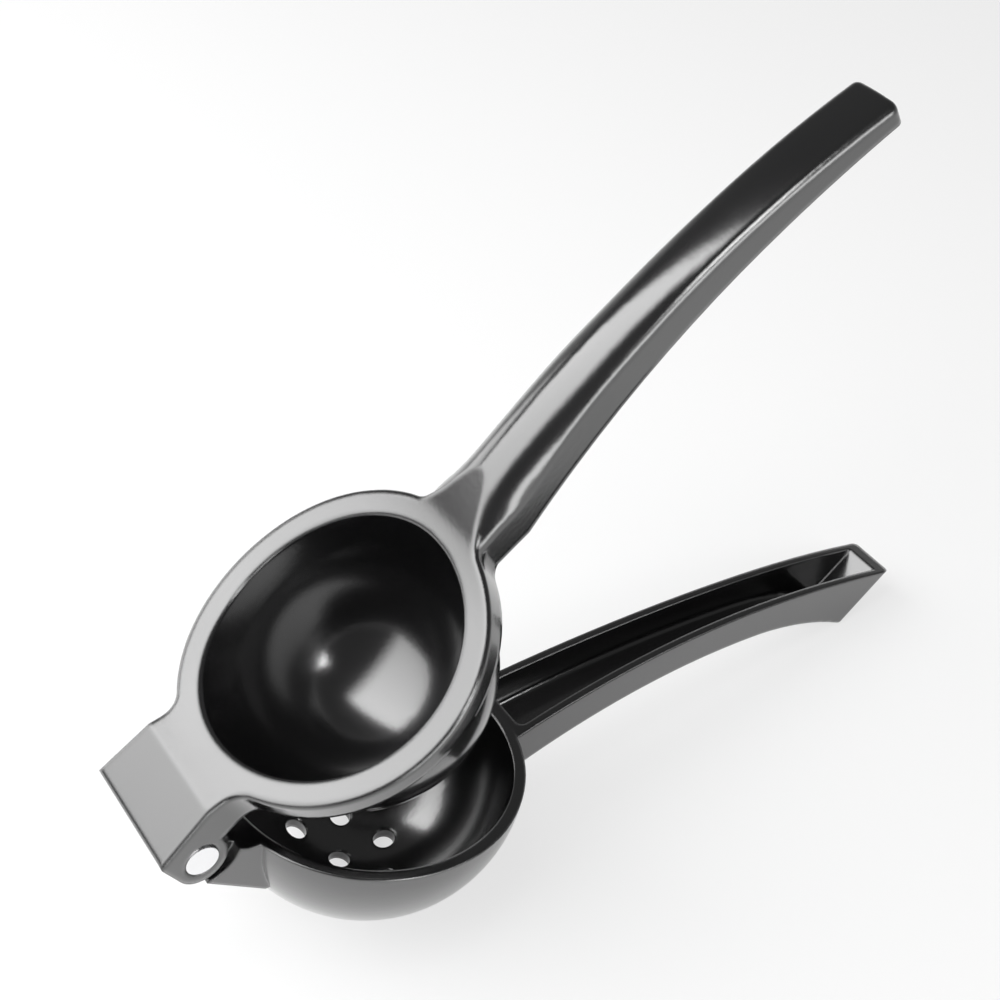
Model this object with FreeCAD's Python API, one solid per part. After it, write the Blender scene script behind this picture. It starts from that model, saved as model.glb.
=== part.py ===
import FreeCAD, Part
import math
import os

os.makedirs("parts", exist_ok=True)

# Lengths in millimetres, angles in degrees.
# Each arm is drawn in its own frame: the hinge axis runs along Y through the
# origin, X points to the handles and Z is square to the rim of the cup.

# Hinge
pin_radius = 3.9
pin_running_clearance = 0.05
pin_end_recess = 0.4
recess_radius = 4.4
lobe_radius = 6.4
knuckle_radius = 6.2
ear_outer_half = 16.2
ear_inner_half = 11.5
knuckle_side_clearance = 0.3
pin_end = ear_outer_half - pin_end_recess
knuckle_half = ear_inner_half - knuckle_side_clearance

# Press cup and its ring
bowl_radius = 38.7
bowl_from_hinge = 13.0
cup_reach = bowl_from_hinge + bowl_radius
ring_set_back = 0.3
ring_width = 6.0
ring_radius = bowl_radius - ring_set_back
ring_opening_radius = ring_radius - ring_width
ring_reach = cup_reach + ring_radius
valley_height = 5.3
valley_radius = 174.0
skirt_bottom = 0.6
press_wall = 2.6
bowl_dome_gap = 2.5

# Hinge plate of the upper arm
bend_reach = 9.3
plate_end_height = 8.5
plate_cup_half = 11.6
plate_underside = 6.8
slot_reach = 12.6
slot_round = 3.0

# Neck, where the ring face climbs to the handle
climb_reach = ring_reach - 12.1
climb_radius = 45.0
climb_angle = 25.0
neck_joint = (ring_reach - 0.6, 10.3)
neck_end = (ring_reach + 3.9, 7.2)
web_height = 7.0
web_inset = 0.4

# Strainer bowl
rim_drop = 4.1
bowl_wall = 2.8
drain_hole_radius = 2.75
drain_set_back = 3.0
drain_ring_radius = 13.0
drain_ring_count = 6

# Tongue between bowl and hinge
tongue_half = 14.0
pocket_radius = 10.8
deck_front = (9.0, -2.6)
tongue_under_front = (2.8, -10.6)
tongue_under_back = (18.4, -20.5)
tongue_inside_reach = cup_reach - 21.7

# Handles, plan outline shared by both arms
handle_root = ring_reach - 6.1
handle_straight_reach = 180.0
handle_half = 7.05
handle_flare_radius = 1209.0
handle_wall = 2.0

# Upper handle side outline
upper_top_apex = (178.0, 26.3)
upper_top_radius = 300.0
upper_bottom_apex = (203.0, 17.2)
upper_bottom_radius = 324.0
upper_end = 221.6
upper_cavity_reach = ring_reach + 2.9

# Crown of the upper handle: reach, and fullness from 0 for flat to 1 for a half circle
crown_root = (handle_root, 0.54)
crown_nose = (ring_reach + 13.9, 0.97)
crown_middle = (ring_reach + 47.9, 0.80)
crown_end = (upper_end, 0.16)
crown_corner_radius = 2.6
crown_spacing = 5.0

# Lower handle side outline
lower_top_apex = (177.0, 7.3)
lower_top_radius = 340.0
lower_bottom_apex = (172.0, -3.9)
lower_bottom_radius = 260.0
hook_radius = 90.0
tip_reach = 208.0
lower_end = 222.0
channel_reach = cup_reach + bowl_radius + 0.9
channel_floor = 2.2

# Edge roundings
ring_edge_round = 1.0
cup_edge_round = 0.8
handle_end_round = 2.0
keel_edge_round = 1.5
channel_corner_round = 1.2
junction_round = 6.0
tip_round = 1.2

# Pose
opening_angle = 38.6

far = 400.0
near = 0.05
y_axis = FreeCAD.Vector(0, 1, 0)
z_axis = FreeCAD.Vector(0, 0, 1)
slant = math.cos(math.radians(45))
cup_edge_samples = 9


def point(x, z, y=0.0):
    return FreeCAD.Vector(x, y, z)


def line(a, b):
    return Part.LineSegment(a, b).toShape()


def closed(points):
    return [line(a, b) for a, b in zip(points, points[1:] + points[:1])]


def crest(apex, radius):
    # height curve of a circle seen from the side, highest at the apex
    def height(x):
        return apex[1] - radius + math.sqrt(radius ** 2 - (x - apex[0]) ** 2)
    return height


def valley(x):
    # height of the ring face, a circle lowest over the cup centre
    return valley_height + valley_radius - math.sqrt(valley_radius ** 2 - (x - cup_reach) ** 2)


def curve_edge(height, start, end):
    # circle edge through three points of a height curve
    return Part.Arc(*[point(x, height(x)) for x in (start, (start + end) / 2.0, end)]).toShape()


def side_prism(edges):
    # closed side outline in XZ, extruded across the whole width
    face = Part.Face(Part.Wire(edges))
    face.translate(FreeCAD.Vector(0, -far, 0))
    return face.extrude(FreeCAD.Vector(0, 2 * far, 0))


def plan_prism(edges):
    # closed plan outline in XY, extruded through the whole height
    face = Part.Face(Part.Wire(edges))
    face.translate(FreeCAD.Vector(0, 0, -far))
    return face.extrude(FreeCAD.Vector(0, 0, 2 * far))


def across(radius, low, high, x=0.0, z=0.0):
    # cylinder along Y
    return Part.makeCylinder(radius, high - low, point(x, z, low), y_axis)


def is_upright(edge):
    box = edge.BoundBox
    return box.XLength < near and box.YLength < near


def from_cup(spot):
    # distance from the upright axis through the middle of the cup
    return math.hypot(spot.x - cup_reach, spot.y)


def on_ring(edge):
    return abs(from_cup(edge.BoundBox.Center) - ring_radius) < near


def handle_half_width(x, inset):
    short = handle_straight_reach - min(x, handle_straight_reach)
    flare = handle_flare_radius - math.sqrt(handle_flare_radius ** 2 - short ** 2)
    return handle_half + flare - inset


def handle_plan(start, end, inset):
    # flared near the cup, straight near the end
    reach = min(end, handle_straight_reach)
    flare = [(x, handle_half_width(x, inset)) for x in (start, (start + reach) / 2.0, reach)]
    right = [FreeCAD.Vector(x, -half, 0) for x, half in flare]
    left = [FreeCAD.Vector(x, half, 0) for x, half in flare]
    right_end = FreeCAD.Vector(end, right[2].y, 0)
    left_end = FreeCAD.Vector(end, left[2].y, 0)
    edges = [Part.Arc(*right).toShape()]
    if end > reach:
        edges += [line(right[2], right_end), line(right_end, left_end), line(left_end, left[2])]
    else:
        edges += [line(right[2], left[2])]
    edges += [Part.Arc(*left[::-1]).toShape(), line(left[0], right[0])]
    return plan_prism(edges)


def plate_plan():
    # hinge plate, narrowing towards the cup
    return plan_prism(closed([
        FreeCAD.Vector(-lobe_radius, -ear_outer_half, 0),
        FreeCAD.Vector(cup_reach, -plate_cup_half, 0),
        FreeCAD.Vector(cup_reach, plate_cup_half, 0),
        FreeCAD.Vector(-lobe_radius, ear_outer_half, 0),
    ]))


def ring_plan():
    # round ring with the hinge plate and the tapering neck running into it
    disc = Part.makeCylinder(ring_radius, 2 * far, point(cup_reach, -far), z_axis)
    taper = (neck_end[1] - neck_joint[1]) / (neck_end[0] - neck_joint[0])
    neck_root = neck_joint[1] - taper * (neck_joint[0] - cup_reach)
    neck = plan_prism(closed([
        FreeCAD.Vector(cup_reach, -neck_root, 0),
        FreeCAD.Vector(neck_end[0], -neck_end[1], 0),
        FreeCAD.Vector(neck_end[0], neck_end[1], 0),
        FreeCAD.Vector(cup_reach, neck_root, 0),
    ]))
    plan = disc.fuse([plate_plan(), neck]).removeSplitter()
    corners = [edge for edge in plan.Edges if is_upright(edge) and on_ring(edge)]
    return plan.makeFillet(junction_round, corners)


def neck_web():
    # lower part of the join, rounding the corners between the ring and the sides of the handle
    disc = Part.makeCylinder(ring_radius, 2 * far, point(cup_reach, -far), z_axis)
    web = disc.fuse(handle_plan(cup_reach, neck_end[0], web_inset)).removeSplitter()
    corners = [edge for edge in web.Edges if is_upright(edge) and on_ring(edge)]
    web = web.makeFillet(junction_round, corners)
    height = web_height - skirt_bottom
    return web.common(Part.makeBox(far, 2 * far, height, point(handle_root, skirt_bottom, -far)))


def climb():
    # start, middle and end of the arc on which the ring face turns up into the neck
    start = point(climb_reach, valley(climb_reach))
    valley_centre = point(cup_reach, valley_height + valley_radius)
    centre = start + (valley_centre - start) * (climb_radius / valley_radius)
    first = math.atan2(start.x - centre.x, centre.z - start.z)
    last = math.radians(climb_angle)
    turns = (first, (first + last) / 2.0, last)
    return [centre + point(climb_radius * math.sin(turn), -climb_radius * math.cos(turn)) for turn in turns]


def ramp(x):
    # height of the straight slope after the climb
    foot = climb()[2]
    return foot.z + (x - foot.x) * math.tan(math.radians(climb_angle))


def ring_side():
    # flat bottom, sloping hinge plate, valley over the cup, climb to the neck
    plate_end = point(-lobe_radius, plate_end_height)
    neck_bottom = point(neck_end[0], skirt_bottom)
    plate_bottom = point(-lobe_radius, skirt_bottom)
    turn = climb()
    slope_end = point(neck_end[0], ramp(neck_end[0]))
    return side_prism([
        line(plate_end, point(bend_reach, valley(bend_reach))),
        curve_edge(valley, bend_reach, climb_reach),
        Part.Arc(*turn).toShape(),
        line(turn[2], slope_end),
        line(slope_end, neck_bottom),
        line(neck_bottom, plate_bottom),
        line(plate_bottom, plate_end),
    ])


def faces_up(face):
    u0, u1, v0, v1 = face.ParameterRange
    return face.normalAt((u0 + u1) / 2.0, (v0 + v1) / 2.0).z > slant


def is_crossing(edge):
    # the bend between plate and ring, and the cut end of the neck
    box = edge.BoundBox
    return box.XLength < near and box.Center.x > 0


def ring_block():
    block = ring_plan().common(ring_side()).removeSplitter()
    rims = [edge for face in block.Faces if faces_up(face) for edge in face.OuterWire.Edges]
    return block.makeFillet(ring_edge_round, [edge for edge in rims if not is_crossing(edge)])


def hinge_ears():
    # round lobes under the plate, one on each side of the knuckle
    lobe = across(lobe_radius, -ear_outer_half, ear_outer_half)
    web = Part.makeBox(2 * lobe_radius, 2 * ear_outer_half, plate_underside,
                       point(-lobe_radius, 0, -ear_outer_half))
    return lobe.fuse(web).common(plate_plan())


def knuckle_slot():
    # room for the knuckle between the ears, open to the back and below
    depth = plate_underside + 2 * lobe_radius
    slot = Part.makeBox(slot_reach + 2 * lobe_radius, 2 * ear_inner_half, depth,
                        point(-2 * lobe_radius, plate_underside - depth, -ear_inner_half))
    corners = [edge for edge in slot.Edges if edge.BoundBox.YLength > ear_inner_half
               and edge.BoundBox.Center.z > 0 and edge.BoundBox.Center.x > 0]
    return slot.makeFillet(slot_round, corners)


def round_plug(radius, centre_height, top_height, top_radius):
    # round bottomed plug about the cup axis, from its lowest point to a flat top
    bottom = point(cup_reach, centre_height - radius)
    middle = point(cup_reach + radius * slant, centre_height - radius * slant)
    equator = point(cup_reach + radius, centre_height)
    top = point(cup_reach + top_radius, top_height)
    axis_top = point(cup_reach, top_height)
    face = Part.Face(Part.Wire([
        Part.Arc(bottom, middle, equator).toShape(),
        line(equator, top),
        line(top, axis_top),
        line(axis_top, bottom),
    ]))
    return face.revolve(point(cup_reach, 0), z_axis, 360)


upper_arch = crest(upper_top_apex, upper_top_radius)
upper_hem = crest(upper_bottom_apex, upper_bottom_radius)


def crown_radius(x):
    # cross radius of the crown, from the half width and the fullness at the reach
    stations = (crown_root, crown_nose, crown_middle, crown_end)
    first, last = [pair for pair in zip(stations, stations[1:]) if pair[0][0] <= x][-1]
    share = math.pi * (x - first[0]) / (last[0] - first[0])
    fullness = first[1] + (last[1] - first[1]) * (1 - math.cos(share)) / 2.0
    return handle_half_width(x, 0.0) / fullness


def crown_section(x, inset):
    # closed outline of the upper handle at one station, crowned with rounded corners
    half = handle_half_width(x, inset)
    radius = crown_radius(x) - inset
    corner = crown_corner_radius - inset
    top = upper_arch(x) - inset
    swing = math.asin((half - corner) / (radius - corner))
    corner_height = top - radius + (radius - corner) * math.cos(swing)
    low = skirt_bottom - handle_wall

    def corner_points(side):
        turns = (math.pi / 2, (swing + math.pi / 2) / 2.0, swing)
        arc = [(half - corner + corner * math.sin(turn), corner * math.cos(turn)) for turn in turns]
        return [point(x, corner_height + rise, side * out) for out, rise in arc]

    right = corner_points(-1)
    left = corner_points(1)
    low_right = point(x, low, -half)
    low_left = point(x, low, half)
    return Part.Wire([
        line(low_right, right[0]),
        Part.Arc(*right).toShape(),
        Part.Arc(right[2], point(x, top), left[2]).toShape(),
        Part.Arc(*left[::-1]).toShape(),
        line(left[0], low_left),
        line(low_left, low_right),
    ])


def crowned(start, end, inset):
    # handle shape from one reach to another, its outlines at even stations joined smoothly
    count = round((end - start) / crown_spacing)
    stations = [start + (end - start) * number / count for number in range(count + 1)]
    return Part.makeLoft([crown_section(x, inset) for x in stations], True, False)


def above_ring_face(drop):
    # everything higher than the ring face and the slope of the neck, lowered by the drop
    turn = climb()
    above = side_prism([
        curve_edge(valley, cup_reach, climb_reach),
        Part.Arc(*turn).toShape(),
        line(turn[2], point(far, ramp(far))),
        line(point(far, ramp(far)), point(cup_reach, ramp(far))),
        line(point(cup_reach, ramp(far)), point(cup_reach, valley(cup_reach))),
    ])
    above.translate(point(0, -drop))
    return above


def below_hem():
    # everything lower than the side edges of the upper handle
    hem_reach = upper_bottom_apex[0] - math.sqrt(
        upper_bottom_radius ** 2 - (upper_bottom_radius - upper_bottom_apex[1] + skirt_bottom) ** 2)
    end = upper_end + handle_wall
    return side_prism([
        curve_edge(upper_hem, hem_reach, end),
        line(point(end, upper_hem(end)), point(end, -far)),
        line(point(end, -far), point(-far, -far)),
        line(point(-far, -far), point(-far, skirt_bottom)),
        line(point(-far, skirt_bottom), point(hem_reach, skirt_bottom)),
    ])


def upper_handle_outside():
    # crowned handle with a rounded end, cut along the hem and along the slope of the neck
    handle = crowned(handle_root, upper_end, 0.0)
    end_face = max(handle.Faces, key=lambda face: face.CenterOfMass.x)
    rims = [edge for edge in end_face.Edges if edge.BoundBox.ZMax > skirt_bottom]
    return handle.makeFillet(handle_end_round, rims).cut([below_hem(), above_ring_face(0.0)])


def is_across(edge):
    # straight edge along Y
    box = edge.BoundBox
    return box.XLength < near and box.ZLength < near and box.Center.x < handle_straight_reach


def upper_handle_cavity():
    # hollow of the upper handle, open below, one wall inside its outside
    return crowned(upper_cavity_reach, upper_end - handle_wall, handle_wall).cut(above_ring_face(handle_wall))


def pin_hole(radius, depth_from):
    # hole along the hinge axis, from the given distance outwards on both sides
    return across(radius, -far, -depth_from).fuse(across(radius, depth_from, far))


def upper_arm():
    dome_radius = bowl_radius - bowl_wall - bowl_dome_gap
    dome = round_plug(dome_radius, -rim_drop, skirt_bottom + ring_edge_round, dome_radius)
    cup = round_plug(dome_radius - press_wall, -rim_drop, 2 * valley_height, ring_opening_radius)
    body = ring_block().fuse([neck_web(), hinge_ears(), upper_handle_outside(), dome]).removeSplitter()
    body = body.cut([cup, knuckle_slot(), upper_handle_cavity()])
    body = body.cut([pin_hole(pin_radius, ear_inner_half / 2.0), pin_hole(recess_radius, pin_end)])
    mouth = [edge for edge in body.Edges if is_cup_mouth(edge)]
    return body.makeFillet(cup_edge_round, mouth)


def is_cup_mouth(edge):
    # edge where the wall of the press cup meets the ring face
    if edge.BoundBox.ZMin < skirt_bottom:
        return False
    cup_radius = bowl_radius - bowl_wall - bowl_dome_gap - press_wall
    reaches = [from_cup(spot) for spot in edge.discretize(cup_edge_samples)]
    return min(reaches) > cup_radius - near and max(reaches) < ring_opening_radius + near


def tongue():
    # block behind the bowl, carrying the knuckle and hollowed for the lobes of the ears
    block = side_prism(closed([
        point(*deck_front),
        point(cup_reach - bowl_radius, -rim_drop),
        point(tongue_inside_reach, -rim_drop),
        point(tongue_inside_reach, tongue_under_back[1]),
        point(*tongue_under_back),
        point(*tongue_under_front),
    ]))
    wide = block.common(Part.makeBox(far, 2 * tongue_half, 2 * far, point(-far / 2, -far, -tongue_half)))
    for low, high in ((-far, -knuckle_half), (knuckle_half, far)):
        wide = wide.cut(across(pocket_radius, low, high))
    web = side_prism(closed([
        point(knuckle_radius * slant, knuckle_radius * slant),
        point(*deck_front),
        point(*tongue_under_front),
        point(-knuckle_radius * slant, -knuckle_radius * slant),
    ]))
    web = web.common(Part.makeBox(far, 2 * knuckle_half, 2 * far, point(-far / 2, -far, -knuckle_half)))
    return wide.fuse([web, across(knuckle_radius, -knuckle_half, knuckle_half)])


lower_crest = crest(lower_top_apex, lower_top_radius)
lower_keel = crest(lower_bottom_apex, lower_bottom_radius)
lower_hook = crest(lower_bottom_apex, hook_radius)


def tip_rounding():
    # centre of the small circle at the low corner of the tip, resting on the hook
    hook_centre = point(lower_bottom_apex[0], lower_bottom_apex[1] - hook_radius)
    rise = math.sqrt((hook_radius + tip_round) ** 2 - (tip_reach - hook_centre.x) ** 2)
    return hook_centre, hook_centre + point(tip_reach - hook_centre.x, rise)


def lower_handle_outside():
    # channel handle whose underside hooks down to the rounded corner of the tip
    start = cup_reach + bowl_radius * slant
    hook_centre, tip_centre = tip_rounding()
    on_hook = hook_centre + (tip_centre - hook_centre) * (hook_radius / (hook_radius + tip_round))
    top = point(lower_end, lower_crest(lower_end))
    reach = top - tip_centre
    turn = math.atan2(reach.z, reach.x) - math.acos(tip_round / reach.Length)
    on_end = tip_centre + point(tip_round * math.cos(turn), tip_round * math.sin(turn))
    lowest = tip_centre + point(0, -tip_round)
    side = side_prism([
        curve_edge(lower_crest, start, lower_end),
        line(top, on_end),
        Part.Arc(on_end, lowest, on_hook).toShape(),
        curve_edge(lower_hook, on_hook.x, lower_bottom_apex[0]),
        curve_edge(lower_keel, lower_bottom_apex[0], start),
        line(point(start, lower_keel(start)), point(start, lower_crest(start))),
    ])
    handle = handle_plan(start, lower_end + tip_round, 0.0).common(side).removeSplitter()
    return handle.makeFillet(keel_edge_round, [edge for edge in handle.Edges if is_keel(edge)])


def is_keel(edge):
    # long lower edges of the handle and the slanting edges of its tip
    box = edge.BoundBox
    return box.XLength > near and box.YLength < handle_half and box.Center.z < 0


def lower_handle_channel():
    # hollow of the lower handle, open above, with an end wall that leans like the tip
    floor_end = tip_reach - handle_wall
    lean = (lower_end - tip_reach) / (lower_crest(lower_end) - lower_hook(tip_reach))

    def floor(x):
        return lower_keel(x) + channel_floor

    def hook_floor(x):
        return lower_hook(x) + channel_floor

    rim = point(floor_end + lean * (far - hook_floor(floor_end)), far)
    side = side_prism([
        curve_edge(floor, channel_reach, lower_bottom_apex[0]),
        curve_edge(hook_floor, lower_bottom_apex[0], floor_end),
        line(point(floor_end, hook_floor(floor_end)), rim),
        line(rim, point(channel_reach, far)),
        line(point(channel_reach, far), point(channel_reach, floor(channel_reach))),
    ])
    channel = handle_plan(channel_reach, far, handle_wall).common(side).removeSplitter()
    root = [edge for edge in channel.Edges if is_upright(edge)]
    channel = channel.makeFillet(handle_wall, root)
    floors = [edge for face in channel.Faces if faces_down(face) for edge in face.OuterWire.Edges]
    return channel.makeFillet(channel_corner_round, [edge for edge in floors if not is_across(edge)])


def faces_down(face):
    u0, u1, v0, v1 = face.ParameterRange
    return face.normalAt((u0 + u1) / 2.0, (v0 + v1) / 2.0).z < -slant


def drain_holes():
    middle = cup_reach - drain_set_back
    spots = [(middle, 0.0)]
    for number in range(drain_ring_count):
        turn = math.radians(360.0 * number / drain_ring_count)
        spots.append((middle + drain_ring_radius * math.cos(turn), drain_ring_radius * math.sin(turn)))
    return [Part.makeCylinder(drain_hole_radius, far, FreeCAD.Vector(x, y, -far), z_axis) for x, y in spots]


def ball(radius):
    # lower half of a ball under the rim plane
    whole = Part.makeSphere(radius, point(cup_reach, -rim_drop))
    below = Part.makeBox(2 * far, 2 * far, far, point(-far, -rim_drop - far, -far))
    return whole.common(below)


def lower_arm():
    body = ball(bowl_radius).fuse([tongue(), lower_handle_outside()]).removeSplitter()
    inner_radius = bowl_radius - bowl_wall
    mouth = Part.makeCylinder(inner_radius, far, point(cup_reach, -rim_drop), z_axis)
    body = body.cut([ball(inner_radius), mouth])
    body = body.cut(lower_handle_channel())
    body = body.cut(drain_holes())
    return body.cut(across(pin_radius + pin_running_clearance, -far, far)).removeSplitter()


def standing_pitch():
    # tilt at which the bowl and the rounded tip touch the table together
    tip_centre = tip_rounding()[1]
    run = tip_centre.x - cup_reach
    rise = tip_centre.z + rim_drop
    climb = math.asin((bowl_radius - tip_round) / math.hypot(run, rise))
    return math.degrees(climb + math.atan2(rise, run))


def placed(shape, tilt):
    # one arm turned about the hinge axis, handle down for a positive tilt
    turned = shape.copy()
    turned.rotate(FreeCAD.Vector(0, 0, 0), y_axis, tilt)
    return turned


pitch = standing_pitch()
lower = placed(lower_arm(), pitch)
upper = placed(upper_arm(), pitch - opening_angle)
pin = placed(across(pin_radius, -pin_end, pin_end), pitch - opening_angle)
bowl_centre = placed(Part.Vertex(cup_reach, 0, -rim_drop), pitch).Point
nodes = {"upper_arm": upper, "lower_arm": lower, "hinge_pin": pin}
box = Part.makeCompound(list(nodes.values())).optimalBoundingBox(False, False)
shift = FreeCAD.Vector(-box.Center.x, 0, bowl_radius - bowl_centre.z)
for name, shape in nodes.items():
    shape.translate(shift)
    shape.exportStep("parts/%s.step" % name)
    print(name, shape.isValid(), round(shape.Volume), len(shape.Solids), len(shape.Faces))
print("hinge axis at", shift, "pitch", pitch)
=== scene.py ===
import math
import bpy
from mathutils import Matrix, Vector


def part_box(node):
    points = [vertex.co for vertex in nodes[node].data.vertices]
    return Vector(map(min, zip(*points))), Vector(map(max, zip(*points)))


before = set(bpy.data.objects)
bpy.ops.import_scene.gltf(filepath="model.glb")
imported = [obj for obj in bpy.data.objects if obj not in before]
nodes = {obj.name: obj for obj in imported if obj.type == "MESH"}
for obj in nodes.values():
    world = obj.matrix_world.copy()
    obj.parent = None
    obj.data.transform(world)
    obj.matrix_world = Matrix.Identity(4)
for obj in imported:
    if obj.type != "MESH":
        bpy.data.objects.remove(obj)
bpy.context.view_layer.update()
print("squeezer loaded:", ", ".join(sorted(nodes)))


# camera, above the front of the hinge end, looking down along the handles
view = {
    "place": (-0.17289, -0.23238, 0.36257),
    "right": (0.83045, -0.55709, 0.00169),
    "up": (0.37819, 0.56597, 0.73256),
    "lens": 61.565,
    "sensor": 36.0,
    "clip": (0.01, 50),
}


def placed(spot):
    # place and turn of a camera or lamp, from its right and up directions; it looks away from back
    right = Vector(spot["right"]).normalized()
    back = right.cross(Vector(spot["up"])).normalized()
    turn = Matrix((right, back.cross(right), back)).transposed().to_4x4()
    return Matrix.Translation(spot["place"]) @ turn


def addCamera():
    lens = bpy.data.cameras.new("camera")
    lens.lens = view["lens"]
    lens.sensor_width = view["sensor"]
    lens.clip_start, lens.clip_end = view["clip"]
    camera = bpy.data.objects.new("camera", lens)
    camera.matrix_world = placed(view)
    bpy.context.scene.collection.objects.link(camera)
    bpy.context.scene.camera = camera


addCamera()
print("camera placed")


def newMaterial(name):
    material = bpy.data.materials.new(name)
    material.use_nodes = True
    return material


def noise(tree, scale, detail):
    # noise laid over the object's own coordinates, scale in grains a metre
    place = tree.nodes.new("ShaderNodeTexCoord")
    grain = tree.nodes.new("ShaderNodeTexNoise")
    grain.inputs["Scale"].default_value = scale
    grain.inputs["Detail"].default_value = detail
    tree.links.new(place.outputs["Object"], grain.inputs["Vector"])
    return grain.outputs["Fac"]


def ranged(tree, value, low, high, start=0.0, end=1.0):
    # value between start and end becomes a number between low and high
    spread = tree.nodes.new("ShaderNodeMapRange")
    limits = {"From Min": start, "From Max": end, "To Min": low, "To Max": high}
    for name, number in limits.items():
        if isinstance(number, (int, float)):
            spread.inputs[name].default_value = number
        else:  # the output of another node
            tree.links.new(number, spread.inputs[name])
    tree.links.new(value, spread.inputs["Value"])
    return spread.outputs["Result"]


def product(tree, first, second):
    times = tree.nodes.new("ShaderNodeMath")
    times.operation = "MULTIPLY"
    tree.links.new(first, times.inputs[0])
    tree.links.new(second, times.inputs[1])
    return times.outputs[0]


# gloss black enamel under a clear top coat, its edges softened as poured enamel leaves them
enamel = {
    "color": (0.004, 0.004, 0.0043),
    "edgeColor": (0.022, 0.022, 0.023),
    "ior": 1.8,
    "roughness": (0.17, 0.23),
    "coatIor": 1.6,
    "coatRoughness": 0.12,
    "upperEdge": 0.0018,
    "lowerEdge": 0.0012,
    "edgeSamples": 8,
    "peelGrain": (900, 2),  # grains a metre, and detail
    "peelHeight": 0.00003,
    "peelStrength": 0.35,
    "smudgeGrain": (28, 5),
    "smudgeSpread": (0.35, 0.65),
    "wearLean": (0.75, 0.995),  # cosine of the edge's lean, where it is worn most and not at all
    "wearGrain": (220, 3),
    "wearSpread": (0.42, 0.62),
}


def enamelMaterial(name, edgeRadius):
    material = newMaterial(name)
    tree = material.node_tree
    shader = tree.nodes["Principled BSDF"]
    shader.inputs["IOR"].default_value = enamel["ior"]
    shader.inputs["Coat Weight"].default_value = 1
    shader.inputs["Coat IOR"].default_value = enamel["coatIor"]
    shader.inputs["Coat Roughness"].default_value = enamel["coatRoughness"]

    # sharp edges rounded in the reflection, under a very fine orange peel
    edge = tree.nodes.new("ShaderNodeBevel")
    edge.samples = enamel["edgeSamples"]
    edge.inputs["Radius"].default_value = edgeRadius
    peel = tree.nodes.new("ShaderNodeBump")
    peel.inputs["Distance"].default_value = enamel["peelHeight"]
    peel.inputs["Strength"].default_value = enamel["peelStrength"]
    tree.links.new(noise(tree, *enamel["peelGrain"]), peel.inputs["Height"])
    tree.links.new(edge.outputs["Normal"], peel.inputs["Normal"])
    tree.links.new(peel.outputs["Normal"], shader.inputs["Normal"])
    tree.links.new(peel.outputs["Normal"], shader.inputs["Coat Normal"])

    # faint handling marks
    smudge = noise(tree, *enamel["smudgeGrain"])
    roughness = ranged(tree, smudge, *enamel["roughness"], *enamel["smudgeSpread"])
    tree.links.new(roughness, shader.inputs["Roughness"])

    # wear: where the rounded normal leaves the surface's own, the enamel is thin in patches
    surface = tree.nodes.new("ShaderNodeNewGeometry")
    lean = tree.nodes.new("ShaderNodeVectorMath")
    lean.operation = "DOT_PRODUCT"
    tree.links.new(edge.outputs["Normal"], lean.inputs[0])
    tree.links.new(surface.outputs["Normal"], lean.inputs[1])
    thin = ranged(tree, lean.outputs["Value"], 1, 0, *enamel["wearLean"])
    patches = ranged(tree, noise(tree, *enamel["wearGrain"]), 0, 1, *enamel["wearSpread"])
    paint = tree.nodes.new("ShaderNodeMix")
    paint.data_type = "RGBA"
    paint.inputs[6].default_value = (*enamel["color"], 1)  # 6 and 7 are the two colours
    paint.inputs[7].default_value = (*enamel["edgeColor"], 1)
    tree.links.new(product(tree, thin, patches), paint.inputs[0])
    tree.links.new(paint.outputs[2], shader.inputs["Base Color"])
    return material


# bright steel of the pin, turned on its end faces
steel = {
    "color": (0.86, 0.86, 0.87),
    "roughness": (0.2, 0.3),
    "ringScale": 1500,
    "ringWobble": 1.5,
    "ringHeight": 0.00001,
    "ringStrength": 0.3,
}


def steelMaterial(name, axis):
    material = newMaterial(name)
    tree = material.node_tree
    shader = tree.nodes["Principled BSDF"]
    shader.inputs["Base Color"].default_value = (*steel["color"], 1)
    shader.inputs["Metallic"].default_value = 1

    # turning marks round the pin's axis
    place = tree.nodes.new("ShaderNodeTexCoord")
    centre = tree.nodes.new("ShaderNodeMapping")
    centre.inputs["Location"].default_value = (-axis[0], 0, -axis[2])
    rings = tree.nodes.new("ShaderNodeTexWave")
    rings.wave_type = "RINGS"
    rings.rings_direction = "Y"
    rings.inputs["Scale"].default_value = steel["ringScale"]
    rings.inputs["Distortion"].default_value = steel["ringWobble"]
    tree.links.new(place.outputs["Object"], centre.inputs["Vector"])
    tree.links.new(centre.outputs["Vector"], rings.inputs["Vector"])
    roughness = ranged(tree, rings.outputs["Fac"], *steel["roughness"])
    tree.links.new(roughness, shader.inputs["Roughness"])
    marks = tree.nodes.new("ShaderNodeBump")
    marks.inputs["Distance"].default_value = steel["ringHeight"]
    marks.inputs["Strength"].default_value = steel["ringStrength"]
    tree.links.new(rings.outputs["Fac"], marks.inputs["Height"])
    tree.links.new(marks.outputs["Normal"], shader.inputs["Normal"])
    return material


def dress(node, material):
    slots = nodes[node].data.materials
    slots.clear()
    slots.append(material)


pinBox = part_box("hinge_pin")
pinAxis = [(low + high) / 2 for low, high in zip(*pinBox)]
dress("upper_arm", enamelMaterial("upperEnamel", enamel["upperEdge"]))
dress("lower_arm", enamelMaterial("lowerEnamel", enamel["lowerEdge"]))
dress("hinge_pin", steelMaterial("pinSteel", pinAxis))
print("enamel and steel set")


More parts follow.
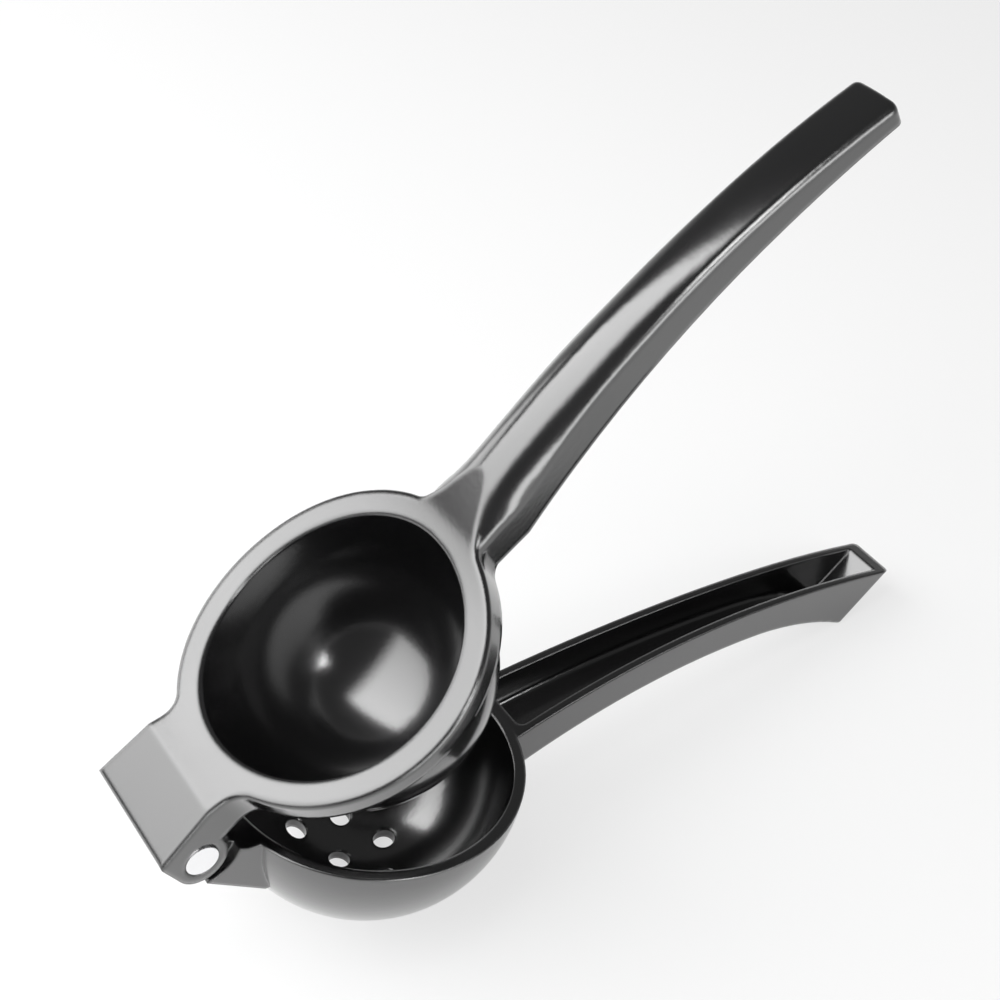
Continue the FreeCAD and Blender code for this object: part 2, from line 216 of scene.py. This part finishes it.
def levelSheet(name, x, y, z):
    # flat sheet between two values of x and of y at one height
    corners = [(x[0], y[0], z), (x[1], y[0], z), (x[1], y[1], z), (x[0], y[1], z)]
    sheet = bpy.data.meshes.new(name)
    sheet.from_pydata(corners, [], [(0, 1, 2, 3)])
    flat = bpy.data.objects.new(name, sheet)
    bpy.context.scene.collection.objects.link(flat)
    return flat


# table top: pale paper that glows for the camera, less in reflections, and keeps the shadow
table = {"half": 3.0, "paper": (0.9, 0.9, 0.9), "glow": 0.65, "reflectedGlow": 0.3}


def addTable():
    half = table["half"]
    top = levelSheet("table", (-half, half), (-half, half), 0)
    material = newMaterial("tablePaper")
    tree = material.node_tree
    tree.nodes.remove(tree.nodes["Principled BSDF"])
    paper = tree.nodes.new("ShaderNodeBsdfDiffuse")
    paper.inputs["Color"].default_value = (*table["paper"], 1)
    glow = tree.nodes.new("ShaderNodeEmission")
    glow.inputs["Strength"].default_value = 1
    ray = tree.nodes.new("ShaderNodeLightPath")
    share = ranged(tree, ray.outputs["Is Glossy Ray"], 0, table["reflectedGlow"])
    share = ranged(tree, ray.outputs["Is Camera Ray"], share, table["glow"])
    blend = tree.nodes.new("ShaderNodeMixShader")
    tree.links.new(share, blend.inputs[0])
    tree.links.new(paper.outputs[0], blend.inputs[1])
    tree.links.new(glow.outputs[0], blend.inputs[2])
    tree.links.new(blend.outputs[0], tree.nodes["Material Output"].inputs["Surface"])
    top.data.materials.append(material)


# painted shade: a dark card on the table in front of the handles, seen only in reflections under
# the ring, where it stands in for the shade on the table there
reflectedShade = {
    "x": (-0.015, 0.13),
    "y": (-0.105, -0.031),
    "z": 0.0005,
    "paper": (0.01, 0.01, 0.01),
    "roughness": 0.9,
}


def addReflectedShade():
    # sheet of painted shade, visible to reflections only
    card = levelSheet("reflectedShade", reflectedShade["x"], reflectedShade["y"], reflectedShade["z"])
    card.visible_camera = False
    card.visible_diffuse = False
    card.visible_shadow = False
    # near-black colour that paints shade into the ring's reflections
    material = newMaterial("reflectedShadePaper")
    shader = material.node_tree.nodes["Principled BSDF"]
    shader.inputs["Base Color"].default_value = (*reflectedShade["paper"], 1)
    shader.inputs["Roughness"].default_value = reflectedShade["roughness"]
    card.data.materials.append(material)


addTable()
addReflectedShade()
print("table laid")


# softboxes as the camera sees them: a large one high on the left, a low one behind it, a wide
# strip in front on the right and a small lamp above the strip. soft is the share of each side
# over which the edge fades, and growth is how many times brighter the light gets from left to
# right and from bottom to top.
softboxes = {
    "large": {
        "place": (-0.413, 0.337, 0.457),
        "right": (0.257, -0.948, -0.186),
        "up": (0.820, 0.112, 0.561),
        "size": (1.06, 0.64),
        "radiance": 2.2,
        "soft": 0.08,
        "growth": (1.0, 2.3),
    },
    "low": {
        "place": (-0.38, 0.74, 0.24),
        "right": (-0.89, -0.46, 0),
        "up": (-0.1, 0.2, 0.97),
        "size": (0.60, 0.44),
        "radiance": 2.2,
        "soft": 0.2,
        "growth": (1.0, 1.0),
    },
    "strip": {
        "place": (0.10, -0.80, 0.17),
        "right": (1, 0.1, 0),
        "up": (0, 0, 1),
        "size": (1.2, 0.26),
        "radiance": 4.2,
        "soft": 0.15,
        "growth": (1.0, 1.0),
    },
    "small": {
        "place": (0.05, -0.485, 0.42),
        "right": (1, 0, 0),
        "up": (0, 0.6, 0.8),
        "size": (0.21, 0.19),
        "radiance": 10,
        "soft": 0.2,
        "growth": (1.0, 1.0),
    },
}


def addSoftbox(name, box):
    width, height = box["size"]
    lamp = bpy.data.lights.new(name, "AREA")
    lamp.shape = "RECTANGLE"
    lamp.size, lamp.size_y = width, height
    lamp.energy = box["radiance"] * math.pi * width * height
    lamp.use_nodes = True
    tree = lamp.node_tree
    spot = tree.nodes.new("ShaderNodeNewGeometry")
    sides = tree.nodes.new("ShaderNodeSeparateXYZ")
    tree.links.new(spot.outputs["Parametric"], sides.inputs[0])
    factors = []
    for along, growth in zip(sides.outputs, box["growth"]):
        inward = tree.nodes.new("ShaderNodeMath")  # distance from the nearer end
        inward.operation = "PINGPONG"
        inward.inputs[1].default_value = 0.5
        tree.links.new(along, inward.inputs[0])
        factors.append(ranged(tree, inward.outputs[0], 0, 1, 0, box["soft"]))
        factors.append(ranged(tree, along, 1, growth))
    light = factors[0]
    for factor in factors[1:]:
        light = product(tree, light, factor)
    tree.links.new(light, tree.nodes["Emission"].inputs["Strength"])
    card = bpy.data.objects.new(name, lamp)
    card.matrix_world = placed(box)
    card.visible_camera = False
    bpy.context.scene.collection.objects.link(card)


for name, box in softboxes.items():
    addSoftbox(name, box)

# world: white to the camera, an even fill for the surfaces, and in reflections a dim ceiling
# that grows lighter towards the horizon
room = {
    "fill": 0.2,
    "horizon": 0.5,
    "ceiling": 0.12,
    "ceilingFrom": 0.35,  # sine of the height at which the light is down to the ceiling's
}


def addRoom():
    world = bpy.data.worlds.new("studio")
    world.use_nodes = True
    tree = world.node_tree
    ray = tree.nodes.new("ShaderNodeLightPath")
    place = tree.nodes.new("ShaderNodeTexCoord")
    height = tree.nodes.new("ShaderNodeSeparateXYZ")
    tree.links.new(place.outputs["Generated"], height.inputs[0])
    sky = ranged(
        tree, height.outputs["Z"], room["horizon"], room["ceiling"], 0.0, room["ceilingFrom"]
    )
    strength = ranged(tree, ray.outputs["Is Glossy Ray"], room["fill"], sky)
    strength = ranged(tree, ray.outputs["Is Camera Ray"], strength, 1.0)
    background = tree.nodes["Background"]
    background.inputs["Color"].default_value = (1, 1, 1, 1)
    tree.links.new(strength, background.inputs["Strength"])
    bpy.context.scene.world = world


addRoom()
bpy.context.scene.view_settings.view_transform = "Standard"
print("studio lit")
